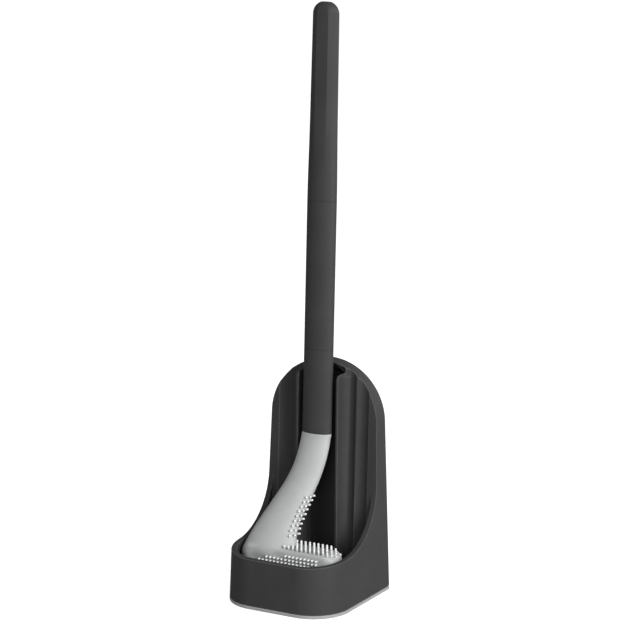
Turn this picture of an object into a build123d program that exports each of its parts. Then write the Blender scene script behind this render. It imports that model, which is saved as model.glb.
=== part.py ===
"""Toilet brush with a golf-club head, standing in its arched holder.

Frame: millimetres, +Z up, origin on the floor at the centre of the holder's
footprint. -Y is the open front of the holder, +Y its flat back.
"""

import os
from math import cos, radians, sin, sqrt

from build123d import *

os.makedirs("parts", exist_ok=True)

# ---------------------------------------------------------------- driving dimensions
# Holder
holder_width = 95.0
holder_depth = 89.2
corner_radius = 28.4  # front corners of the footprint, in plan
wall = 4.0  # side and front walls
side_draft = 0.028  # each side leans in, mm per mm of height
front_draft = 0.038  # the front leans back
spring_height = 126.8  # where the round arch starts
arch_radius = 43.95
arch_rise = 43.4
front_rim = 37.2  # height of the front wall
rim_slope = 0.10  # the side rims rise gently towards the back
panel_lean = 0.052  # the fluted panel leans back, mm per mm
panel_at_spring = 31.46  # y of the panel face at spring_height
swoosh_radius = 44.0  # the rim's large arc, from the tub up to the arch
back_y = holder_depth / 2
crown = spring_height + arch_rise
above_crown = crown + 20

# Fluted panel and handle channel
channel_half = 15.6
channel_floor = 39.0
rib_thickness = 1.8
rib_front_at_floor = 17.8  # y of the ribs' front edge, carried down to the floor
rib_lean = 0.028
rib_top = 162.5
rib_bottom = 14.0
rib_corner = 4.0
cove_width = 4.9  # a concave sweep joins each rib's outer side to the nearest flute
cove_height = 7.5  # how far in front of the panel the sweep starts
cove_dip = 0.3  # the sweep would pass this far under the flute's floor
cove_end = 2.0  # the sweep stops this far below the ribs' top
flute_edges = ((17.4, 27.0), (27.0, 37.4))
flute_depth = 1.7
slab_wall = 2.4  # moulded thickness of the fluted panel, which is hollow behind
rib_root = 2.0  # how far the ribs run into the panel
roof_thickness = 1.2

# Back cover
cover_thickness = 2.1
cover_inset = 1.4
cover_gap = 0.1

# Base tray
tray_underside = 0.4
tray_top = 2.8
upstand_height = 9.0
upstand_wall = 1.8
upstand_gap = 0.3
drain_rib_top = 7.0
drain_rib_width = 1.6
drain_rib_pitch = 12.0
pad_radius = 5.5
pad_depth = 1.2

# Brush handle: a flat oval that leans back with its axis through handle_foot
handle_foot = (0.0, 21.8, 118.8)
handle_lean = 2.97  # degrees
handle_half_width = 11.7
handle_half_depth = 6.3
handle_top_half_width = 10.55
handle_top_half_depth = 5.8
lower_length = 61.8
middle_length = 108.3
upper_length = 141.4
dome_height = 8.4
dome_roundness = 0.92  # share of the full half-ellipse that the dome follows
tube_wall = 2.2
seam_gap = 0.05
joiner_half_length = 12.0
joiner_clearance = 0.05

# Brush head: stations down the neck, (z, centre x, half width)
neck_stations = (
    (104.0, -2.1, 12.3),
    (90.0, -5.2, 12.8),
    (77.0, -9.8, 13.9),
    (65.0, -14.8, 15.1),
    (53.0, -18.7, 16.9),
    (42.0, -19.4, 20.0),
    (32.0, -19.8, 21.2),
)
neck_lean = 0.10  # the neck leaves the handle leaning forward,
neck_curl = 0.00422  # and sweeps further forward as it goes down
neck_swell = 4.2  # extra half depth where the neck meets the foot
neck_bottom = 30.0  # the neck's loft runs down into the foot as far as this
foot_top = 41.0
foot_bottom = 11.0
foot_heel = -40.8
foot_toe = 38.4
foot_front = -22.0
foot_back = -1.2
foot_end_radius = 9.5
core_skin = 2.6  # silicone over the core in the neck
core_blade_length = 62.0
core_blade_width = 9.0
core_blade_height = 20.0
core_blade_x = -4.0
spigot_length = 20.0  # how far the core reaches up into the handle

# Bristles
bristle_radius = 0.9
bristle_pitch = 3.55
bristle_root = 1.2  # how far a bristle is rooted in the head
instep_rows = 9
instep_top = 74.2
instep_row_drop = 3.17
instep_angles = (-8.0, 18.0, 35.0)  # round the neck's oval, from its right end forward
instep_rise = 2.0  # instep bristles point slightly up
instep_length = 1.9
top_rows = 6
top_field_left = -8.0
top_field_back = -3.6
toe_margin = 1.7  # bare strip round the foot's rounded end
neck_margin = 0.4  # bare strip between the top field and the neck
top_length = 3.0
toe_length = 1.5  # the bristles round the toe are shorter
front_row_starts = (7, 2, 0, 0)  # columns left out at the left of each row, from the top down
front_row_drop = 2.6
front_pitch = 3.16
front_top = 37.0
front_left = -23.0
front_length = 2.2
sole_rows = 4
sole_left = -29.0
long_columns = 16  # columns in the front field and in the sole field
sole_clearance = 0.05  # between the sole bristles and the tray's drain ribs


# ---------------------------------------------------------------- shared outlines
def save(part, name):
    """Label a finished piece and write its STEP file."""
    part.label = name
    export_step(part, f"parts/{name}.step")
    print(f"{name}: {len(part.solids())} solid(s), {part.volume:.0f} mm3")


def panel_y(z):
    """Depth of the fluted panel's face, and of the arch's front edge, at height z."""
    return panel_at_spring - panel_lean * (spring_height - z)


def envelope(inset, bottom):
    """Drafted, arched outline of the holder, pulled in by inset, filled from bottom up."""
    with BuildPart() as block:
        for height in (bottom, above_crown):
            half = holder_width / 2 - inset - side_draft * height
            front = -holder_depth / 2 + inset + front_draft * height
            with BuildSketch(Plane.XY.offset(height)) as footprint:
                with Locations((0, (front + holder_depth) / 2)):
                    Rectangle(2 * half, holder_depth - front)
                front_corners = footprint.vertices().group_by(Axis.Y)[0]
                fillet(front_corners, corner_radius - inset)
        loft(ruled=True)
        with BuildSketch(Plane.XZ.offset(-back_y)):
            with Locations((0, spring_height / 2)):
                Rectangle(2 * holder_width, spring_height)
            with Locations((0, spring_height)):
                Ellipse(arch_radius - inset, arch_rise - inset)
        extrude(amount=2 * holder_depth, mode=Mode.INTERSECT)
    return block.part


# ---------------------------------------------------------------- holder body
print("holder")
rim_corner_y = panel_y(front_rim + rim_slope * (back_y + panel_at_spring))
rim_corner_z = front_rim + rim_slope * (rim_corner_y + back_y)
far = 2 * holder_depth

outer_block = envelope(0, tray_top)
tub_block = envelope(wall, 0)
hollow_block = envelope(slab_wall, tray_top + slab_wall)
cover_pocket_block = envelope(cover_inset, tray_top + cover_inset)
cover_block = envelope(cover_inset + cover_gap, tray_top + cover_inset + cover_gap)

with BuildPart() as tub_cavity:
    add(tub_block)
    with BuildSketch(Plane.YZ.offset(-holder_width)):
        with BuildLine():
            Polyline(
                (-far, -1),
                (panel_y(-1), -1),
                (panel_y(above_crown), above_crown),
                (-far, above_crown),
                close=True,
            )
        make_face()
    extrude(amount=2 * holder_width, mode=Mode.INTERSECT)

with BuildPart() as channel:
    with BuildSketch(Plane.XY.offset(rib_bottom)):
        with Locations((0, channel_floor / 2)):
            Rectangle(2 * (channel_half + rib_thickness / 2), channel_floor)
    extrude(amount=crown)
    add(envelope(roof_thickness, tray_top), mode=Mode.INTERSECT)

with BuildPart() as rear_hollow:
    add(hollow_block)
    with BuildSketch(Plane.YZ.offset(-holder_width)):
        with BuildLine():
            Polyline(
                (panel_y(0) + flute_depth + slab_wall, 0),
                (panel_y(above_crown) + flute_depth + slab_wall, above_crown),
                (back_y - cover_thickness, above_crown),
                (back_y - cover_thickness, 0),
                close=True,
            )
        make_face()
    extrude(amount=2 * holder_width, mode=Mode.INTERSECT)
    channel_block_half = channel_half + rib_thickness / 2 + slab_wall
    with BuildSketch(Plane.XY):
        with Locations((0, holder_depth / 4)):
            Rectangle(2 * channel_block_half, holder_depth)
    extrude(amount=above_crown, mode=Mode.SUBTRACT)

with BuildPart() as cover_pocket:
    add(cover_pocket_block)
    with BuildSketch(Plane.XZ.offset(-(back_y - cover_thickness))):
        Rectangle(far, 2 * far)
    extrude(amount=far, mode=Mode.SUBTRACT)

lean_plane = Plane(origin=(0, panel_y(0), 0), x_dir=(1, 0, 0), z_dir=(0, panel_lean, 1))
rib_plane = Plane(origin=(0, rib_front_at_floor, 0), x_dir=(1, 0, 0), z_dir=(0, rib_lean, 1))

with BuildPart() as flutes:
    with BuildSketch(lean_plane):
        for near, away in flute_edges:
            for side in (-1, 1):
                with BuildLine():
                    Line((side * near, 0), (side * away, 0))
                    SagittaArc((side * near, 0), (side * away, 0), side * flute_depth)
                make_face()
    extrude(amount=above_crown)
    with BuildSketch(Plane.XY):
        Rectangle(far, far)
    extrude(amount=rib_bottom, mode=Mode.SUBTRACT)

flute_middle = sum(flute_edges[0]) / 2
cove_side = flute_middle - cove_width
with BuildPart() as coves:
    with BuildSketch(lean_plane):
        for side in (-1, 1):
            with Locations((side * (cove_side + cove_width / 2), (rib_root - cove_height) / 2)):
                Rectangle(cove_width, rib_root + cove_height)
            with Locations((side * flute_middle, -cove_height)):
                Ellipse(cove_width, cove_height + flute_depth + cove_dip, mode=Mode.SUBTRACT)
    extrude(amount=above_crown)
    with BuildSketch(Plane.XY.offset(rib_bottom)):
        Rectangle(far, far)
    extrude(amount=rib_top - cove_end - rib_bottom, mode=Mode.INTERSECT)

with BuildPart() as ribs:
    with BuildSketch(rib_plane):
        with Locations(
            (channel_half + rib_thickness / 2, far / 4),
            (-channel_half - rib_thickness / 2, far / 4),
        ):
            Rectangle(rib_thickness, far / 2)
    extrude(amount=crown)
    with BuildSketch(Plane.YZ.offset(-holder_width)):
        with Locations((panel_y(rib_top) - far / 2 + rib_root, (rib_bottom + rib_top) / 2)):
            Rectangle(far, rib_top - rib_bottom)
    extrude(amount=2 * holder_width, mode=Mode.INTERSECT)
    rib_top_corners = ribs.edges().filter_by(Axis.X).group_by(Axis.Z)[-1].group_by(Axis.Y)[0]
    fillet(rib_top_corners, rib_corner)

with BuildPart() as holder_body:
    add(outer_block)
    with BuildSketch(Plane.YZ.offset(-holder_width)):
        with BuildLine():
            FilletPolyline(
                (-far, front_rim),
                (-back_y, front_rim),
                (rim_corner_y, rim_corner_z),
                (panel_y(above_crown), above_crown),
                radius=(20.0, swoosh_radius),
            )
            Polyline(
                (panel_y(above_crown), above_crown),
                (far, above_crown),
                (far, -1),
                (-far, -1),
                (-far, front_rim),
            )
        make_face()
    extrude(amount=2 * holder_width, mode=Mode.INTERSECT)
    add(tub_cavity.part, mode=Mode.SUBTRACT)
    add(flutes.part, mode=Mode.SUBTRACT)
    add(ribs.part)
    add(channel.part, mode=Mode.SUBTRACT)
    add(coves.part)
    add(ribs.part)
    add(rear_hollow.part, mode=Mode.SUBTRACT)
    add(cover_pocket.part, mode=Mode.SUBTRACT)
save(holder_body.part, "holder_body")


# ---------------------------------------------------------------- back cover
with BuildPart() as back_cover:
    add(cover_block)
    with BuildSketch(Plane.XZ.offset(-(back_y - cover_thickness))):
        Rectangle(far, 2 * far)
    extrude(amount=far, mode=Mode.SUBTRACT)
save(back_cover.part, "back_cover")


# ---------------------------------------------------------------- base tray and its pads
upstand_half = holder_width / 2 - wall - side_draft * (tray_top + upstand_height) - upstand_gap
upstand_front = -holder_depth / 2 + wall + front_draft * (tray_top + upstand_height) + upstand_gap
upstand_back = panel_y(tray_top) - upstand_gap
pad_centres = ((-36.0, 34.0), (36.0, 34.0), (-29.0, -28.0), (29.0, -28.0))

with BuildPart() as base_tray:
    with BuildSketch(Plane.XY.offset(tray_underside)) as plate:
        Rectangle(holder_width, holder_depth)
        fillet(plate.vertices().group_by(Axis.Y)[0], corner_radius)
    extrude(amount=tray_top - tray_underside)
    chamfer(base_tray.faces().sort_by(Axis.Z)[0].edges(), 0.4)
    with BuildSketch(Plane.XY.offset(tray_top)) as upstand:
        with Locations((0, (upstand_front + upstand_back) / 2)):
            Rectangle(2 * upstand_half, upstand_back - upstand_front)
        fillet(upstand.vertices().group_by(Axis.Y)[0], corner_radius - wall - upstand_gap)
        fillet(upstand.vertices().group_by(Axis.Y)[-1], 2.0)
        offset(amount=-upstand_wall, mode=Mode.SUBTRACT)
    extrude(amount=upstand_height)
    with BuildSketch(Plane.XY.offset(tray_top)):
        with GridLocations(drain_rib_pitch, 0, 7, 1):
            with Locations((0, -7)):
                SlotOverall(46, drain_rib_width, rotation=90)
    extrude(amount=drain_rib_top - tray_top)
    with BuildSketch(Plane.XY.offset(tray_underside)):
        with Locations(*pad_centres):
            Circle(pad_radius + 0.05)
    extrude(amount=pad_depth, mode=Mode.SUBTRACT)
save(base_tray.part, "base_tray")

with BuildPart() as grip_pads:
    with BuildSketch(Plane.XY):
        with Locations(*pad_centres):
            Circle(pad_radius)
    extrude(amount=tray_underside + pad_depth)
    chamfer(grip_pads.edges().group_by(Axis.Z)[0], 0.3)
save(grip_pads.part, "grip_pads")


# ---------------------------------------------------------------- brush handle
handle_axis = Vector(0, sin(radians(handle_lean)), cos(radians(handle_lean)))
seam_one = lower_length
seam_two = seam_one + middle_length
handle_end = seam_two + upper_length
dome_start = handle_end - dome_height


def handle_plane(distance):
    """Plane across the handle, at a distance up its axis from the head joint."""
    return Plane(Vector(*handle_foot) + handle_axis * distance, x_dir=(1, 0, 0), z_dir=handle_axis)


def oval_tube(start, end):
    """Straight hollow section of the handle between two distances."""
    with BuildPart() as tube:
        with BuildSketch(handle_plane(start)):
            Ellipse(handle_half_width, handle_half_depth)
            Ellipse(handle_half_width - tube_wall, handle_half_depth - tube_wall, mode=Mode.SUBTRACT)
        extrude(amount=end - start)
    return tube.part


def oval_plug(centre):
    """Solid oval plug that joins two tube sections end to end."""
    shrink = tube_wall + joiner_clearance
    with BuildPart() as plug:
        with BuildSketch(handle_plane(centre - joiner_half_length)):
            Ellipse(handle_half_width - shrink, handle_half_depth - shrink)
        extrude(amount=2 * joiner_half_length)
    return plug.part


print("handle")
handle_lower = oval_tube(0, seam_one - seam_gap)
save(handle_lower, "handle_lower")
handle_middle = oval_tube(seam_one, seam_two - seam_gap)
save(handle_middle, "handle_middle")

with BuildPart() as handle_upper:
    with BuildSketch(handle_plane(seam_two)):
        Ellipse(handle_half_width, handle_half_depth)
    with BuildSketch(handle_plane(dome_start)):
        Ellipse(handle_top_half_width, handle_top_half_depth)
    loft()
    for rise in (0.0, 0.3, 0.6, 0.85, 1.0):
        shrink = sqrt(1 - (dome_roundness * rise) ** 2)
        with BuildSketch(handle_plane(dome_start + rise * dome_height)):
            Ellipse(handle_top_half_width * shrink, handle_top_half_depth * shrink)
    loft()
    with BuildSketch(handle_plane(seam_two)):
        Ellipse(handle_half_width - tube_wall, handle_half_depth - tube_wall)
    extrude(amount=joiner_half_length + 1, mode=Mode.SUBTRACT)
    with BuildSketch(handle_plane(seam_two + joiner_half_length + 1)):
        Ellipse(handle_half_width - tube_wall, handle_half_depth - tube_wall)
    with BuildSketch(handle_plane(dome_start)):
        Ellipse(handle_top_half_width - tube_wall, handle_top_half_depth - tube_wall)
    loft(mode=Mode.SUBTRACT)
save(handle_upper.part, "handle_upper")

save(oval_plug(seam_one), "lower_joiner")
save(oval_plug(seam_two), "upper_joiner")


# ---------------------------------------------------------------- brush head
foot_middle = (foot_front + foot_back) / 2


def neck_depth(z):
    """Centre y and half depth of the neck at height z."""
    drop = handle_foot[2] - z
    centre = handle_foot[1] - neck_lean * drop - neck_curl * drop**2
    share = drop / (handle_foot[2] - foot_top)
    return centre, handle_half_depth + neck_swell * share**2


def neck_solid(shrink):
    """Neck from the handle joint down into the foot, as a loft of ovals."""
    with BuildPart() as neck:
        with BuildSketch(handle_plane(0)):
            Ellipse(handle_half_width - shrink, handle_half_depth - shrink)
        for z, centre_x, half_width in neck_stations:
            if z >= neck_bottom:
                centre_y, half_depth = neck_depth(max(z, foot_top))
                with BuildSketch(Plane.XY.offset(z)):
                    with Locations((centre_x, centre_y)):
                        Ellipse(half_width - shrink, half_depth - shrink)
        loft()
    return neck.part


print("head")
with BuildPart() as head_core:
    add(neck_solid(core_skin))
    with BuildSketch(Plane.XY.offset(foot_bottom + 6)):
        with Locations((core_blade_x, foot_middle)):
            SlotOverall(core_blade_length, core_blade_width)
    extrude(amount=core_blade_height)
    shrink = tube_wall + joiner_clearance
    with BuildSketch(handle_plane(0)):
        Ellipse(handle_half_width - shrink, handle_half_depth - shrink)
    extrude(amount=spigot_length)
save(head_core.part, "head_core")

with BuildPart() as silicone_head:
    with BuildSketch(Plane.XZ.offset(-foot_back)) as foot_side:
        with Locations(((foot_heel + foot_toe) / 2, (foot_top + foot_bottom) / 2)):
            Rectangle(foot_toe - foot_heel, foot_top - foot_bottom)
        fillet(foot_side.vertices(), foot_end_radius)
    extrude(amount=foot_back - foot_front)
    with BuildSketch(Plane.XY):
        with Locations(((foot_heel + foot_toe) / 2, foot_middle)):
            SlotOverall(foot_toe - foot_heel, foot_back - foot_front)
    extrude(amount=foot_top + 1, mode=Mode.INTERSECT)
    add(neck_solid(0))
    add(head_core.part, mode=Mode.SUBTRACT)
save(silicone_head.part, "silicone_head")


# ---------------------------------------------------------------- bristle fields
def neck_oval(z):
    """Centre and half sizes of the neck's oval at height z, between its stations."""
    heights = [station[0] for station in neck_stations]
    above = max(i for i, height in enumerate(heights) if height >= z)
    high, low = neck_stations[above], neck_stations[above + 1]
    share = (high[0] - z) / (high[0] - low[0])
    centre_x = high[1] + share * (low[1] - high[1])
    half_width = high[2] + share * (low[2] - high[2])
    centre_y, half_depth = neck_depth(z)
    return centre_x, centre_y, half_width, half_depth


def bristle_plane(point, direction):
    """Plane on which one bristle's root circle is drawn, pointing outwards."""
    direction = Vector(*direction).normalized()
    return Plane(Vector(*point) - direction * bristle_root, z_dir=direction)


def bristle_field(*groups):
    """Separate round bristles in one field; each group is (planes, bristle length)."""
    with BuildPart() as field:
        for planes, length in groups:
            for plane in planes:
                with BuildSketch(plane):
                    Circle(bristle_radius)
                extrude(amount=length + bristle_root)
    return field.part


def instep_planes():
    """Three columns down the right-hand side of the neck."""
    planes = []
    for row in range(instep_rows):
        z = instep_top - row * instep_row_drop
        centre_x, centre_y, half_width, half_depth = neck_oval(z)
        for angle in instep_angles:
            across, forward = cos(radians(angle)), sin(radians(angle))
            point = (centre_x + half_width * across, centre_y - half_depth * forward, z)
            outwards = (half_depth * across, -half_width * forward, instep_rise)
            planes.append(bristle_plane(point, outwards))
    return planes


def top_planes():
    """Staggered rows over the foot, clear of the neck: on its flat top, and round its toe."""
    centre_x, centre_y, half_width, half_depth = neck_oval(foot_top + 1)
    toe_radius = (foot_back - foot_front) / 2
    flat_planes, toe_planes = [], []
    for row in range(top_rows):
        y = top_field_back - row * bristle_pitch * sqrt(3) / 2
        toe_reach = sqrt((toe_radius - toe_margin) ** 2 - (y - foot_middle) ** 2)
        x = foot_toe - toe_margin - (row % 2) * bristle_pitch / 2
        while x > top_field_left:
            over = max(0, x - (foot_toe - foot_end_radius))
            z = foot_top - foot_end_radius + sqrt(foot_end_radius**2 - over**2)
            beside_x = (x - centre_x) / (half_width + neck_margin)
            beside_y = (y - centre_y) / (half_depth + neck_margin)
            on_foot = x < foot_toe - toe_radius + toe_reach
            if on_foot and beside_x**2 + beside_y**2 > 1:
                planes = toe_planes if over > 0 else flat_planes
                planes.append(bristle_plane((x, y, z), (over / foot_end_radius, 0, 1)))
            x -= bristle_pitch
    return flat_planes, toe_planes


def front_planes():
    """Rows across the lower front of the foot; the upper rows start further from the heel."""
    return [
        bristle_plane(
            (front_left + column * front_pitch, foot_front, front_top - row * front_row_drop),
            (0, -1, 0),
        )
        for row, start in enumerate(front_row_starts)
        for column in range(start, long_columns)
    ]


def sole_planes():
    """Rows along the underside of the foot."""
    return [
        bristle_plane(
            (
                sole_left + column * bristle_pitch,
                foot_middle + (row - (sole_rows - 1) / 2) * bristle_pitch,
                foot_bottom,
            ),
            (0, 0, -1),
        )
        for row in range(sole_rows)
        for column in range(long_columns)
    ]


print("bristles")
sole_length = foot_bottom - drain_rib_top - sole_clearance
flat_planes, toe_planes = top_planes()
save(bristle_field((instep_planes(), instep_length)), "instep_bristles")
save(bristle_field((flat_planes, top_length), (toe_planes, toe_length)), "foot_bristles")
save(bristle_field((front_planes(), front_length)), "front_bristles")
save(bristle_field((sole_planes(), sole_length)), "sole_bristles")
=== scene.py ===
# %% [markdown]
# # A golf-club toilet brush in its arched holder
#
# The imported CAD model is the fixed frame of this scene: every size, place and joint comes from it.
# This lesson dresses it. Hard mouldings get rounded edges, the handle gets its soft facets, the
# silicone head is melted into one smooth form, and each bristle gets a rounded tip. Each finish is
# a node material with its own grain, wear and dust.

from math import cos, pi, radians, sin, sqrt

import bmesh
import bpy
from mathutils import Matrix, Quaternion, Vector
from mathutils.bvhtree import BVHTree


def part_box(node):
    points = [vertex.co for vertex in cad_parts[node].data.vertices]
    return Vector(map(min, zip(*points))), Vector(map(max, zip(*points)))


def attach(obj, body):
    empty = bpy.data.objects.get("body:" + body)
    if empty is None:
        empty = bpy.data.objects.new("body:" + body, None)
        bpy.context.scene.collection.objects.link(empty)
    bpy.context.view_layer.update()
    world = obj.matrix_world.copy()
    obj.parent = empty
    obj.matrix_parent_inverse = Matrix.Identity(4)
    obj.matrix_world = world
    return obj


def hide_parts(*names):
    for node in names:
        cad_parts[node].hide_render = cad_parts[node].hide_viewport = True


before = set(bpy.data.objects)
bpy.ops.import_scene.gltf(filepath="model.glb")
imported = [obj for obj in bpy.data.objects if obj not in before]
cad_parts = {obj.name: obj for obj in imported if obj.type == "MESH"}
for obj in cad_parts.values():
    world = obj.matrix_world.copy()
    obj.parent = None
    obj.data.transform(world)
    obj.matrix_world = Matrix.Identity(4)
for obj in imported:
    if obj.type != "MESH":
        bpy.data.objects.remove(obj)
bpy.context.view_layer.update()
mm = 0.001

# %% [markdown]
# ## Camera
#
# A long lens, far away and a little above, keeps the tall handle almost parallel. The camera is
# placed by the direction that it looks in, so the angle can be read off the two numbers.

# %% Camera
aim = Vector((0.0061, 0.0035, 0.2136))
camera_distance = 2.2644
camera_azimuth = radians(30.095)  # seen from the front right
camera_height_angle = radians(13.69)
camera_roll = radians(-0.286)

forward = Vector((
    -sin(camera_azimuth) * cos(camera_height_angle),
    cos(camera_azimuth) * cos(camera_height_angle),
    -sin(camera_height_angle),
))
camera_data = bpy.data.cameras.new("camera")
camera_data.lens = 184.35
camera_data.sensor_width = 36
camera_data.clip_end = 50
camera = bpy.data.objects.new("camera", camera_data)
bpy.context.scene.collection.objects.link(camera)
camera.location = aim - forward * camera_distance
camera.rotation_mode = "QUATERNION"
camera.rotation_quaternion = forward.to_track_quat("-Z", "Y") @ Quaternion((0, 0, 1), camera_roll)
bpy.context.scene.camera = camera
print("camera stands at", [round(x, 3) for x in camera.location])

# %% [markdown]
# ## Floor and studio light
#
# Dark matte plastic needs broad light: small lamps would leave it black with hard glints. So there
# are three large soft boxes: a key to the right that turns the shell's side wall lighter than its
# front, a weak fill in front that opens up the tub, and a weak one behind for the back cover.
#
# The floor and the sky look white, but white surroundings would light the object flat from all
# sides. A Light Path node tells the two jobs apart: camera rays see them white, all other rays see
# them dim.

# %% Floor
floor_half_size = 15
floor_glow_seen = 0.85  # how brightly the floor glows for camera rays only
floor_bmesh = bmesh.new()
bmesh.ops.create_grid(floor_bmesh, x_segments=1, y_segments=1, size=floor_half_size)
floor_mesh = bpy.data.meshes.new("floor")
floor_bmesh.to_mesh(floor_mesh)
floor_bmesh.free()
floor = bpy.data.objects.new("floor", floor_mesh)
bpy.context.scene.collection.objects.link(floor)
floor_material = bpy.data.materials.new("pale floor")
floor_material.use_nodes = True
floor_tree = floor_material.node_tree
floor_shader = floor_tree.nodes["Principled BSDF"]
floor_shader.inputs["Base Color"].default_value = (0.45, 0.45, 0.45, 1)
floor_shader.inputs["Roughness"].default_value = 0.9
floor_shader.inputs["Specular IOR Level"].default_value = 0.1
floor_shader.inputs["Emission Color"].default_value = (1, 1, 1, 1)
floor_rays = floor_tree.nodes.new("ShaderNodeLightPath")
floor_glow = floor_tree.nodes.new("ShaderNodeMath")
floor_glow.operation = "MULTIPLY"
floor_glow.inputs[1].default_value = floor_glow_seen
floor_tree.links.new(floor_rays.outputs["Is Camera Ray"], floor_glow.inputs[0])
floor_tree.links.new(floor_glow.outputs[0], floor_shader.inputs["Emission Strength"])
floor_mesh.materials.append(floor_material)
print("floor is", 2 * floor_half_size, "m wide")

# %% World
sky_light = 0.33
sky_seen = 1.0
world = bpy.data.worlds.new("studio")
world.use_nodes = True
world_tree = world.node_tree
backdrop = world_tree.nodes["Background"]
backdrop.inputs["Color"].default_value = (1, 1, 1, 1)
world_rays = world_tree.nodes.new("ShaderNodeLightPath")
world_glow = world_tree.nodes.new("ShaderNodeMapRange")
world_glow.inputs["To Min"].default_value = sky_light
world_glow.inputs["To Max"].default_value = sky_seen
world_tree.links.new(world_rays.outputs["Is Camera Ray"], world_glow.inputs["Value"])
world_tree.links.new(world_glow.outputs["Result"], backdrop.inputs["Strength"])
bpy.context.scene.world = world
bpy.context.scene.view_settings.view_transform = "Standard"
print("sky lights with", sky_light, "and is seen as", sky_seen)

# %% Soft boxes
box_size = 1.2


def soft_box(name, place, target, power):
    """Square area light at place that points at target."""
    light_data = bpy.data.lights.new(name, "AREA")
    light_data.size = box_size
    light_data.energy = power
    light = bpy.data.objects.new(name, light_data)
    bpy.context.scene.collection.objects.link(light)
    light.location = place
    light.rotation_euler = (Vector(target) - Vector(place)).to_track_quat("-Z", "Y").to_euler()
    return light


soft_box("key from the right", place=(1.9, -0.75, 1.1), target=(0, 0, 0.18), power=78)
soft_box("front fill", place=(0.55, -2.0, 0.8), target=(0, 0, 0.15), power=13)
soft_box("back fill", place=(0.3, 2.2, 0.35), target=(0, 0, 0.15), power=14)

# %% [markdown]
# ## Shared effects
#
# Three effects return in several finishes, so each is a node group: the fine spark-eroded grain of
# a mould, the slow unevenness of a handled surface, and the polish that comes on rounded edges.
# A group reads Object coordinates, which stay with the piece wherever it is carried.

# %% Node group helpers
def new_group(name, inputs, outputs):
    """Empty shader node group with float sockets; inputs are (name, value), outputs are names."""
    group = bpy.data.node_groups.new(name, "ShaderNodeTree")
    for socket_name, value in inputs:
        socket = group.interface.new_socket(socket_name, in_out="INPUT", socket_type="NodeSocketFloat")
        socket.default_value = value
    for socket_name in outputs:
        group.interface.new_socket(socket_name, in_out="OUTPUT", socket_type="NodeSocketFloat")
    return group, group.nodes.new("NodeGroupInput"), group.nodes.new("NodeGroupOutput")


def math_node(group, operation, first, second):
    """Math node in a group, with each operand a socket or a number."""
    node = group.nodes.new("ShaderNodeMath")
    node.operation = operation
    for socket, value in zip(node.inputs, (first, second)):
        if isinstance(value, (int, float)):
            socket.default_value = value
        else:
            group.links.new(value, socket)
    return node.outputs[0]


def noise_node(group, coordinates, scale, detail, roughness=0.5):
    """Noise texture in a group, on the given coordinates; scale is a socket or a number."""
    node = group.nodes.new("ShaderNodeTexNoise")
    group.links.new(coordinates, node.inputs["Vector"])
    if isinstance(scale, (int, float)):
        node.inputs["Scale"].default_value = scale
    else:
        group.links.new(scale, node.inputs["Scale"])
    node.inputs["Detail"].default_value = detail
    node.inputs["Roughness"].default_value = roughness
    return node.outputs["Fac"]


# %% Mould grain
# Height of a matte moulded surface: fine pits, broken up by a coarser ripple.
pit_softness = 0.6
ripple_coarseness = 0.12  # the ripple's scale as a share of the pits' scale
grain, grain_in, grain_out = new_group("mould grain", [("Scale", 2600.0), ("Ripple", 0.35)], ["Height"])
grain_place = grain.nodes.new("ShaderNodeTexCoord")
pits = grain.nodes.new("ShaderNodeTexVoronoi")
pits.feature = "SMOOTH_F1"
pits.inputs["Smoothness"].default_value = pit_softness
grain.links.new(grain_place.outputs["Object"], pits.inputs["Vector"])
grain.links.new(grain_in.outputs["Scale"], pits.inputs["Scale"])
ripple_scale = math_node(grain, "MULTIPLY", grain_in.outputs["Scale"], ripple_coarseness)
ripple = noise_node(grain, grain_place.outputs["Object"], ripple_scale, detail=3.0)
ripple_height = math_node(grain, "MULTIPLY", ripple, grain_in.outputs["Ripple"])
grain_height = math_node(grain, "ADD", pits.outputs["Distance"], ripple_height)
grain.links.new(grain_height, grain_out.inputs["Height"])

# %% Handled surface
# A slow mask for faint smudges, and a finer one for settled dust.
speck_fineness = 22.0  # specks are this many times finer than smudges
speck_threshold = 0.72
handled, handled_in, handled_out = new_group("handled surface", [("Size", 45.0)], ["Smudge", "Dust"])
handled_place = handled.nodes.new("ShaderNodeTexCoord")
handled_size = handled_in.outputs["Size"]
smudge = noise_node(handled, handled_place.outputs["Object"], handled_size, detail=4.0, roughness=0.62)
speck_scale = math_node(handled, "MULTIPLY", handled_size, speck_fineness)
specks = noise_node(handled, handled_place.outputs["Object"], speck_scale, detail=2.0, roughness=0.7)
speck_mask = math_node(handled, "GREATER_THAN", specks, speck_threshold)
handled.links.new(smudge, handled_out.inputs["Smudge"])
handled.links.new(math_node(handled, "MULTIPLY", speck_mask, smudge), handled_out.inputs["Dust"])

# %% Edge polish
# Rounded edges carry the attribute "edge". Noise breaks the mask up, so wear isn't a drawn line.
scuff_scale = 420.0
polish, polish_in, polish_out = new_group("edge polish", [("Amount", 1.0)], ["Mask"])
edge_mark = polish.nodes.new("ShaderNodeAttribute")
edge_mark.attribute_name = "edge"
polish_place = polish.nodes.new("ShaderNodeTexCoord")
scuff = noise_node(polish, polish_place.outputs["Object"], scuff_scale, detail=5.0, roughness=0.65)
scuffed = math_node(polish, "MULTIPLY", edge_mark.outputs["Fac"], scuff)
polish_mask = math_node(polish, "MULTIPLY", scuffed, polish_in.outputs["Amount"])
polish.links.new(polish_mask, polish_out.inputs["Mask"])
print("node groups:", [g.name for g in bpy.data.node_groups])

# %% [markdown]
# ## Finishes
#
# All the finishes are plain mouldings, so one function builds them and the values tell them apart:
# two tones for the colour, the range of roughness, the size and depth of the grain.

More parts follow.
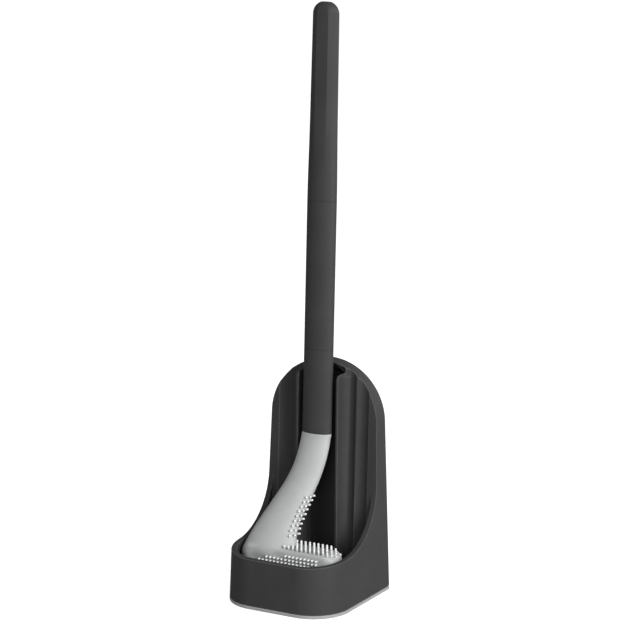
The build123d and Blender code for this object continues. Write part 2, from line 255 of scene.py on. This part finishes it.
# %% Material helpers
def group_node(tree, name, **values):
    """Places a shared effect in a material's tree with its own values."""
    node = tree.nodes.new("ShaderNodeGroup")
    node.node_tree = bpy.data.node_groups[name]
    for socket_name, value in values.items():
        node.inputs[socket_name].default_value = value
    return node


def mix_colour(tree, mask, first, second):
    """Colour between two colours or sockets, by a mask socket."""
    node = tree.nodes.new("ShaderNodeMix")
    node.data_type = "RGBA"
    tree.links.new(mask, node.inputs["Factor"])
    for socket, value in ((node.inputs["A"], first), (node.inputs["B"], second)):
        if isinstance(value, tuple):
            socket.default_value = (*value, 1)
        else:
            tree.links.new(value, socket)
    return node.outputs["Result"]


def map_range(tree, value, low, high, start, end):
    """Maps a socket's range from start to end on to low to high."""
    node = tree.nodes.new("ShaderNodeMapRange")
    tree.links.new(value, node.inputs["Value"])
    node.inputs["From Min"].default_value = start
    node.inputs["From Max"].default_value = end
    node.inputs["To Min"].default_value = low
    node.inputs["To Max"].default_value = high
    return node.outputs["Result"]


# %% Moulded finish
smudge_size = 45.0
smudge_start, smudge_end = 0.3, 0.7  # the part of the smudge noise that is spread over a full change
dust_full = 0.25
relief_strength = 0.5


def moulded(
        name, tone, second_tone, worn_tone, roughness, grain_scale, grain_depth, wear=1.0, specular=0.5):
    """Moulded plastic or rubber: tone drifts slowly, edges polish, dust settles, grain shows."""
    material = bpy.data.materials.new(name)
    material.use_nodes = True
    tree = material.node_tree
    shader = tree.nodes["Principled BSDF"]
    surface = group_node(tree, "handled surface", Size=smudge_size)
    edges = group_node(tree, "edge polish", Amount=wear)
    relief = group_node(tree, "mould grain", Scale=grain_scale)
    smudge_mask = map_range(tree, surface.outputs["Smudge"], 0, 1, smudge_start, smudge_end)
    drifting = mix_colour(tree, smudge_mask, tone, second_tone)
    dust_mask = map_range(tree, surface.outputs["Dust"], 0, dust_full, 0, 1)
    dusted = mix_colour(tree, dust_mask, drifting, worn_tone)
    worn = mix_colour(tree, edges.outputs["Mask"], dusted, worn_tone)
    tree.links.new(worn, shader.inputs["Base Color"])
    smudged = map_range(tree, surface.outputs["Smudge"], *roughness, smudge_start, smudge_end)
    tree.links.new(smudged, shader.inputs["Roughness"])
    bump = tree.nodes.new("ShaderNodeBump")
    bump.inputs["Strength"].default_value = relief_strength
    bump.inputs["Distance"].default_value = grain_depth
    tree.links.new(relief.outputs["Height"], bump.inputs["Height"])
    tree.links.new(bump.outputs["Normal"], shader.inputs["Normal"])
    shader.inputs["Specular IOR Level"].default_value = specular
    return material


# %% Finishes of this object
charcoal = moulded(
    "charcoal shell", (0.029, 0.029, 0.030), (0.034, 0.034, 0.035), (0.075, 0.075, 0.076),
    roughness=(0.56, 0.66), grain_scale=2600.0, grain_depth=0.00004, specular=0.14)
handle_charcoal = moulded(
    "charcoal handle", (0.029, 0.029, 0.030), (0.034, 0.034, 0.035), (0.08, 0.08, 0.08),
    roughness=(0.52, 0.62), grain_scale=3000.0, grain_depth=0.00003, specular=0.15)
tray_grey = moulded(
    "light grey tray", (0.235, 0.238, 0.238), (0.26, 0.262, 0.262), (0.32, 0.32, 0.32),
    roughness=(0.46, 0.58), grain_scale=2200.0, grain_depth=0.00004, specular=0.3)
core_grey = moulded(
    "nylon core", (0.30, 0.30, 0.31), (0.36, 0.36, 0.36), (0.42, 0.42, 0.42),
    roughness=(0.45, 0.60), grain_scale=2000.0, grain_depth=0.00004)
pad_rubber = moulded(
    "pad rubber", (0.045, 0.045, 0.047), (0.06, 0.06, 0.06), (0.12, 0.12, 0.12),
    roughness=(0.70, 0.85), grain_scale=3200.0, grain_depth=0.00006)

# %% Silicone
# Silicone lets a little light in, so it gets subsurface scattering. The bristles carry the attribute
# "tip", from 0 at the root to 1 at the end: painted shade darkens them at the root, where the
# crowded pins shade each other, and a painted highlight makes them pale at the thin tip. The head
# itself has no such attribute, so it keeps its own tone.
# tone of a painted highlight at each bristle's tip
painted_tip_highlight = (0.62, 0.625, 0.625)


def silicone_finish(name, tone, second_tone):
    """Soft silicone with painted shade at a bristle's root and a painted highlight towards its tip."""
    material = moulded(
        name, tone, second_tone, (0.42, 0.42, 0.42),
        roughness=(0.52, 0.64), grain_scale=1500.0, grain_depth=0.00005, wear=0.0, specular=0.3)
    tree = material.node_tree
    shader = tree.nodes["Principled BSDF"]
    painted_shade_and_highlight_mark = tree.nodes.new("ShaderNodeAttribute")
    painted_shade_and_highlight_mark.attribute_name = "tip"
    body_tone = shader.inputs["Base Color"].links[0].from_socket
    # painted shade at the bristle's root, blending into a painted highlight at its tip
    root_shade_tip_highlight = mix_colour(tree, painted_shade_and_highlight_mark.outputs["Fac"], body_tone, painted_tip_highlight)
    tree.links.new(root_shade_tip_highlight, shader.inputs["Base Color"])
    shader.inputs["Subsurface Weight"].default_value = 0.12
    shader.inputs["Subsurface Radius"].default_value = (1.0, 0.95, 0.9)
    shader.inputs["Subsurface Scale"].default_value = 0.0012
    return material


silicone = silicone_finish("grey silicone", (0.31, 0.314, 0.314), (0.34, 0.344, 0.344))
# The bristles use a darker copy of the head's silicone: the darker tones are painted shade between the
# crowded pins.
shaded_bristle_silicone = silicone_finish("silicone bristles with painted shade", (0.15, 0.152, 0.152), (0.18, 0.182, 0.182))
print("finishes:", [m.name for m in bpy.data.materials])

# %% [markdown]
# ## Rounded mouldings
#
# A moulded edge is never sharp: the tool leaves a small radius, and that thin line of light is
# what makes a dark shell readable. The CAD mesh comes as loose triangles, so a copy is merged,
# its flat faces are made whole, and the sharp edges are bevelled.

# %% Helpers for finished pieces
def finish_piece(bm, name, body, material, sharp=radians(40)):
    """Turns a bmesh into a piece that rides on a body, smooth except at edges sharper than sharp."""
    for face in bm.faces:
        face.smooth = True
    for edge in bm.edges:
        edge.smooth = len(edge.link_faces) == 2 and edge.calc_face_angle(0) < sharp
    mesh = bpy.data.meshes.new(name)
    bm.to_mesh(mesh)
    bm.free()
    mesh.materials.append(material)
    piece = bpy.data.objects.new(name, mesh)
    bpy.context.scene.collection.objects.link(piece)
    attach(piece, body)
    print(f"{name}: {len(mesh.vertices)} vertices, {len(mesh.polygons)} faces")
    return piece


same_place = 0.002 * mm
same_plane = radians(0.4)


def merged_copy(node):
    """One connected bmesh of a CAD node, with its flat areas dissolved into whole faces."""
    bm = bmesh.new()
    bm.from_mesh(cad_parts[node].data)
    bmesh.ops.remove_doubles(bm, verts=bm.verts, dist=same_place)
    bmesh.ops.dissolve_limit(bm, angle_limit=same_plane, verts=bm.verts, edges=bm.edges)
    return bm


def round_edges(bm, radius, segments=2, sharper_than=radians(32)):
    """Bevels every edge sharper than an angle and marks the new faces with the attribute edge."""
    mark = bm.faces.layers.float.new("edge")
    edges = [e for e in bm.edges if len(e.link_faces) == 2 and e.calc_face_angle(0) > sharper_than]
    made = bmesh.ops.bevel(
        bm, geom=edges, offset=radius, offset_type="OFFSET", segments=segments, profile=0.5,
        affect="EDGES", clamp_overlap=False, material=-1)
    for face in made["faces"]:
        face[mark] = 1.0
    bmesh.ops.recalc_face_normals(bm, faces=bm.faces)
    return len(edges)


def shade_by_area(piece):
    """Keeps large flat faces flat beside small rounded edges."""
    weighted = piece.modifiers.new("weighted normals", "WEIGHTED_NORMAL")
    weighted.keep_sharp = True
    weighted.weight = 80  # percent


# %% Holder body
# The shell's foot is drawn up a little from the tray, so a fine dark line parts the two colours.
reveal = 0.5 * mm
shell = merged_copy("holder_body")
shell_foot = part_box("holder_body")[0].z + 0.05 * mm
for vert in shell.verts:
    if vert.co.z < shell_foot:
        vert.co.z += reveal
rounded = round_edges(shell, radius=0.45 * mm)
holder_shell = finish_piece(shell, "holder_shell", "holder", charcoal)
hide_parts("holder_body")
shade_by_area(holder_shell)
print("holder shell edges rounded:", rounded)

# %% Back cover
cover = merged_copy("back_cover")
round_edges(cover, radius=0.35 * mm)
cover_plate = finish_piece(cover, "rear_cover_plate", "holder", charcoal)
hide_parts("back_cover")
shade_by_area(cover_plate)

# %% Base tray
tray = merged_copy("base_tray")
round_edges(tray, radius=0.3 * mm)
drip_tray = finish_piece(tray, "drip_tray", "tray", tray_grey)
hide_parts("base_tray")
shade_by_area(drip_tray)

# %% [markdown]
# ## Grip pads
#
# Each pad is a small rubber disc with moulded rings. A circle is extruded and inset again and
# again: each inset is one ring, and every second ring is pushed in a little.

# %% Grip pads
pad_low, pad_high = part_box("grip_pads")
pad_radius = 5.5 * mm
pad_segments = 48
pad_rings = 3
ring_width = 0.7 * mm
ring_slope = 0.3 * mm
ring_height = 0.25 * mm
pads = bmesh.new()
pad_centres = [(-36, 34), (36, 34), (-29, -28), (29, -28)]
for x, y in pad_centres:
    made = bmesh.ops.create_circle(pads, cap_ends=True, radius=pad_radius, segments=pad_segments)
    disc = made["verts"][0].link_faces[0]
    bmesh.ops.translate(pads, verts=made["verts"], vec=(x * mm, y * mm, pad_high.z))
    raised = bmesh.ops.extrude_face_region(pads, geom=[disc])
    low_verts = [v for v in raised["geom"] if isinstance(v, bmesh.types.BMVert)]
    bmesh.ops.translate(pads, verts=low_verts, vec=(0, 0, pad_low.z - pad_high.z))
    face = [f for f in raised["geom"] if isinstance(f, bmesh.types.BMFace)][0]
    for ring in range(pad_rings):
        bmesh.ops.inset_individual(pads, faces=[face], thickness=ring_width, depth=0)
        step = ring_height if ring % 2 == 0 else -ring_height
        bmesh.ops.inset_individual(pads, faces=[face], thickness=ring_slope, depth=0)
        bmesh.ops.translate(pads, verts=face.verts[:], vec=(0, 0, step))
bmesh.ops.recalc_face_normals(pads, faces=pads.faces)
round_edges(pads, radius=0.15 * mm)
rubber_pads = finish_piece(pads, "rubber_pads", "tray", pad_rubber)
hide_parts("grip_pads")

# %% [markdown]
# ## Handle
#
# The handle is an oval tube in three lengths, leaning back. Towards its top the oval hardens into
# soft facets: a flat front and back, with slanted sides. Each section is one ring of points that
# is extruded up the axis, and every ring is set to its own outline.

# %% Handle axis and outline
handle_lean = radians(2.97)
half_width = 11.7 * mm
half_depth = 6.3 * mm
top_half_width = 10.55 * mm
top_half_depth = 5.8 * mm
lower_length = 61.8 * mm
middle_length = 108.3 * mm
upper_length = 141.4 * mm
dome_height = 8.4 * mm
tube_wall = 2.2 * mm
ring_points = 96
handle_axis = Vector((0, sin(handle_lean), cos(handle_lean)))
across_axis = Vector((0, cos(handle_lean), -sin(handle_lean)))
lower_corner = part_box("handle_lower")[0]
foot_y = lower_corner.y + half_depth * cos(handle_lean)
foot_z = lower_corner.z + half_depth * sin(handle_lean)
handle_foot = Vector((0, foot_y, foot_z))
print("handle starts at", [round(x, 4) for x in handle_foot])

# %% Facets
facet_start = lower_length + middle_length + 12 * mm
facet_full = facet_start + 70 * mm
facet_hardest = 0.82  # the corners stay a little soft
flat_front = 0.44  # the flat front ends at this share of the half width
slant_end = 0.996  # the slanted side ends at this share of the half width


def ramp(value, start, end):
    """Smooth step from 0 at start to 1 at end."""
    share = min(max((value - start) / (end - start), 0), 1)
    return share * share * (3 - 2 * share)


def facet_share(distance):
    """How far the oval has hardened into facets at a distance up the handle, from 0 to 1."""
    return facet_hardest * ramp(distance, facet_start, facet_full)


def oval_point(turn, wide, deep, facets):
    """Point of the handle's outline in its own plane, at a turn from the right-hand side."""
    x, y = cos(turn), sin(turn)
    tiny = 1e-9
    front_rise = sqrt(1 - flat_front**2)
    end_rise = sqrt(1 - slant_end**2)
    reach = min(1.0, front_rise / max(abs(y), tiny))
    slant = Vector((front_rise - end_rise, slant_end - flat_front)).normalized()
    slant_reach = slant.x * flat_front + slant.y * front_rise
    reach = min(reach, slant_reach / max(slant.x * abs(x) + slant.y * abs(y), tiny))
    scale = 1 + (reach - 1) * facets
    return x * wide * scale, y * deep * scale


def extrude_ring(bm, ring):
    """Extrudes a closed ring of vertices once, and returns the new ring in the same order."""
    count = len(ring)
    edges = [bm.edges.get((ring[i], ring[(i + 1) % count])) for i in range(count)]
    made = bmesh.ops.extrude_edge_only(bm, edges=edges)
    fresh = {v for v in made["geom"] if isinstance(v, bmesh.types.BMVert)}
    return [next(e.other_vert(v) for e in v.link_edges if e.other_vert(v) in fresh) for v in ring]


def set_ring(verts, distance, wide, deep, facets):
    """Moves a ring of vertices to the handle's outline at a distance up its axis."""
    centre = handle_foot + handle_axis * distance
    for index, vert in enumerate(verts):
        x, y = oval_point(2 * pi * index / ring_points, wide, deep, facets)
        vert.co = centre + Vector((x, 0, 0)) + across_axis * y


def handle_section(rings):
    """Tube extruded along the handle; rings are (distance, half width, half depth, facets)."""
    bm = bmesh.new()
    ring = bmesh.ops.create_circle(bm, cap_ends=False, radius=1, segments=ring_points)["verts"]
    set_ring(ring, *rings[0])
    for outline in rings[1:]:
        ring = extrude_ring(bm, ring)
        set_ring(ring, *outline)
    return bm


# %% Straight handle sections
# Each end has a tiny chamfer, so a seam between two sections shows as a fine dark groove.
seam_chamfer = 0.15 * mm
seam_gap = 0.05 * mm
seam_one = lower_length
seam_two = lower_length + middle_length
handle_end = seam_two + upper_length
dome_start = handle_end - dome_height
straight_steps = 6


def outline(distance, pinch=0.0, facets=0.0):
    """Ring of the handle at a distance: it narrows from the second seam to the dome."""
    share = min(max((distance - seam_two) / (dome_start - seam_two), 0), 1)
    wide = half_width + (top_half_width - half_width) * share
    deep = half_depth + (top_half_depth - half_depth) * share
    return distance, wide - pinch, deep - pinch, facets


def straight_section(name, start, end):
    """Oval tube between two distances, chamfered at both ends, with its bore."""
    rings = [outline(start + tube_wall, tube_wall), outline(start, tube_wall)]
    rings += [outline(start, seam_chamfer), outline(start + seam_chamfer)]
    span = (end - start) / straight_steps
    rings += [outline(start + span * step) for step in range(1, straight_steps)]
    rings += [outline(end - seam_chamfer), outline(end, seam_chamfer)]
    rings += [outline(end, tube_wall), outline(end - tube_wall, tube_wall)]
    bm = handle_section(rings)
    close_bore(bm)
    return finish_piece(bm, name, "brush", handle_charcoal)


def close_bore(bm):
    """Joins the two open ends of a section's bore, so that the tube is a closed solid."""
    open_edges = [e for e in bm.edges if len(e.link_faces) == 1]
    bmesh.ops.bridge_loops(bm, edges=open_edges)
    bmesh.ops.recalc_face_normals(bm, faces=bm.faces)


grip_lower = straight_section("grip_lower", 0, seam_one - seam_gap)
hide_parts("handle_lower")
grip_middle = straight_section("grip_middle", seam_one, seam_two - seam_gap)
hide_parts("handle_middle")

# %% Top section
# The top section hardens into facets, and closes in a dome that keeps a trace of them.
dome_roundness = 0.92  # share of the full half-ellipse that the dome follows
dome_softening = 0.7  # how much of the facets has melted away at the dome's top
crown_rings = (0.26, 0.14, 0.04)  # the last small rings, as shares of the top's half sizes
crown_slope = 0.5 * mm
crown_edge = 0.4
crown_facets = 0.2
top_steps = 24
dome_steps = 12
bore_end = dome_start - tube_wall
rings = [outline(bore_end, tube_wall), outline(seam_two, tube_wall)]
rings += [outline(seam_two, seam_chamfer), outline(seam_two + seam_chamfer)]
for step in range(1, top_steps + 1):
    distance = seam_two + seam_chamfer + (dome_start - seam_two - seam_chamfer) * step / top_steps
    rings.append(outline(distance, 0, facet_share(distance)))
for step in range(1, dome_steps + 1):
    rise = sin(pi / 2 * step / dome_steps)
    shrink = sqrt(1 - (dome_roundness * rise) ** 2)
    distance = dome_start + dome_height * rise
    facets = facet_share(dome_start) * (1 - dome_softening * rise)
    rings.append((distance, top_half_width * shrink, top_half_depth * shrink, facets))
for shrink in crown_rings:
    distance = handle_end + (crown_edge - shrink) * crown_slope
    rings.append((distance, top_half_width * shrink, top_half_depth * shrink, crown_facets))
top_bmesh = handle_section(rings)
bmesh.ops.holes_fill(top_bmesh, edges=top_bmesh.edges, sides=ring_points)
bmesh.ops.recalc_face_normals(top_bmesh, faces=top_bmesh.faces)
grip_top = finish_piece(
    top_bmesh, "grip_top", "brush", handle_charcoal, sharp=radians(28))
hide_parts("handle_upper")

# %% [markdown]
# ## Silicone head
#
# The head is one soft moulding: the neck flows into the foot with no edge between them. The CAD
# solid has the true sizes but hard junctions. A voxel remesh makes it one even skin, and smoothing
# that skin melts the junctions together. The lip at the top is left alone, because it meets the
# handle.

# %% Silicone head
voxel = 0.75 * mm
smoothing_rounds = 22
lip_height = 3 * mm
head_source = merged_copy("silicone_head")
head_mesh = bpy.data.meshes.new("head source")
head_source.to_mesh(head_mesh)
head_source.free()
head_object = bpy.data.objects.new("head source", head_mesh)
bpy.context.scene.collection.objects.link(head_object)
remesh = head_object.modifiers.new("even skin", "REMESH")
remesh.mode = "VOXEL"
remesh.voxel_size = voxel
depsgraph = bpy.context.evaluated_depsgraph_get()
skin_mesh = bpy.data.meshes.new_from_object(head_object.evaluated_get(depsgraph))
bpy.data.objects.remove(head_object)
skin = bmesh.new()
skin.from_mesh(skin_mesh)
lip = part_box("silicone_head")[1].z - lip_height
soft = [v for v in skin.verts if v.co.z < lip]
for _ in range(smoothing_rounds):
    bmesh.ops.smooth_vert(
        skin, verts=soft, factor=0.5, use_axis_x=True, use_axis_y=True, use_axis_z=True)
print("skin:", len(skin.verts), "vertices,", len(soft), "of them smoothed")

# %% Heel
# The heel is squarer in plan than the toe, so its front corner is drawn out a little. Three ramps,
# in millimetres, keep the move to the heel's low front corner.
heel_reach = Vector((-1.3 * mm, -0.9 * mm, 0))
for vert in soft:
    place = vert.co / mm
    low = ramp(place.z, 44, 33)
    outer = ramp(place.x, -22, -36)
    front = ramp(place.y, -6, -17)
    vert.co += heel_reach * low * outer * front
head_surface = BVHTree.FromBMesh(skin)
soft_head = finish_piece(skin, "soft_head", "brush", silicone, sharp=radians(60))
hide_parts("silicone_head")

# %% [markdown]
# ## Bristles
#
# Every bristle is a short silicone pin with a rounded tip. One pin is shaped once, with few faces,
# and copied to each place. The places are read from the frame: each CAD pin is a small cylinder,
# and its two flat ends give the line that the soft pin follows.

# %% One pin
pin_sides = 10
pin_radius = 0.9 * mm
root_flare = 1.05
# The pin's outline: height, and radius as a share of the pin's radius.
pin_profile = ((0.30, 1.00), (0.70, 0.97), (0.86, 0.90), (0.95, 0.70), (0.99, 0.40))


def pin_template(radius):
    """Pin along +Z from 0 to 1, with a rounded tip. Its height is set when it is placed."""
    bm = bmesh.new()
    # the attribute tip also sets where the bristle material paints shade at the root and a highlight at
    # the tip
    painted_shade_and_highlight_mark = bm.verts.layers.float.new("tip")
    circle = bmesh.ops.create_circle(
        bm, cap_ends=False, radius=radius * root_flare, segments=pin_sides)
    ring = circle["verts"]
    for height, share in pin_profile:
        ring = extrude_ring(bm, ring)
        for vert in ring:
            flat = Vector((vert.co.x, vert.co.y, 0)).normalized() * radius * share
            vert.co = Vector((flat.x, flat.y, height))
            vert[painted_shade_and_highlight_mark] = height
    tip = bmesh.ops.contextual_create(bm, geom=ring)["faces"][0]
    crown = bmesh.ops.poke(bm, faces=[tip])["verts"][0]
    crown.co.z = 1.0
    crown[painted_shade_and_highlight_mark] = 1.0
    bmesh.ops.recalc_face_normals(bm, faces=bm.faces)
    mesh = bpy.data.meshes.new("pin")
    bm.to_mesh(mesh)
    bm.free()
    return mesh


pin = pin_template(pin_radius)
print("pin:", len(pin.polygons), "faces")


# %% Pin places
def loose_parts(bm):
    """Lists of vertices, one for each separate part of a bmesh."""
    seen, parts = set(), []
    for start in bm.verts:
        if start in seen:
            continue
        part, queue = [], [start]
        seen.add(start)
        while queue:
            vert = queue.pop()
            part.append(vert)
            for edge in vert.link_edges:
                other = edge.other_vert(vert)
                if other not in seen:
                    seen.add(other)
                    queue.append(other)
        parts.append(part)
    return parts


def height_over_head(point):
    """Height of a point over the head's skin; below the skin it is negative."""
    place, normal, _, _ = head_surface.find_nearest(point)
    return (point - place).dot(normal)


def pin_lines(node):
    """(root, tip) of each cylinder in a CAD node: the centres of its two flat ends."""
    bm = merged_copy(node)
    lines = []
    for part in loose_parts(bm):
        faces = {f for v in part for f in v.link_faces}
        ends = sorted(faces, key=lambda f: len(f.verts))[-2:]
        centres = [f.calc_center_median() for f in ends]
        centres.sort(key=height_over_head)
        lines.append(tuple(centres))
    bm.free()
    return lines


# %% Bristle fields
def bristle_piece(name, node):
    """One mesh with a soft pin on each line of a CAD bristle node."""
    bm = bmesh.new()
    bm.verts.layers.float.new("tip")
    lines = pin_lines(node)
    for root, tip in lines:
        direction = tip - root
        turn = direction.to_track_quat("Z", "Y").to_matrix().to_4x4()
        grow = Matrix.Diagonal((1, 1, direction.length, 1))
        start = len(bm.verts)
        bm.from_mesh(pin)
        bm.verts.ensure_lookup_table()
        bmesh.ops.transform(bm, matrix=Matrix.Translation(root) @ turn @ grow, verts=bm.verts[start:])
    # the bristle material carries painted shade at the roots and a painted highlight at the tips
    piece = finish_piece(bm, name, "brush", shaded_bristle_silicone, sharp=radians(80))
    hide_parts(node)
    print(f"{name}: {len(lines)} pins")
    return piece


instep_pins = bristle_piece("instep_pins", "instep_bristles")
foot_pins = bristle_piece("foot_pins", "foot_bristles")
front_pins = bristle_piece("front_pins", "front_bristles")
sole_pins = bristle_piece("sole_pins", "sole_bristles")
bpy.data.meshes.remove(pin)

# %% [markdown]
# ## Hidden CAD pieces
#
# The core of the head and the two plugs inside the handle have simple true shapes, so the CAD
# meshes stay. They only get a finish of their own.

# %% Core and joiners
for node in ("head_core", "lower_joiner", "upper_joiner"):
    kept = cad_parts[node]
    kept.data.materials.clear()
    kept.data.materials.append(core_grey)
    print(node, "keeps its CAD shape")
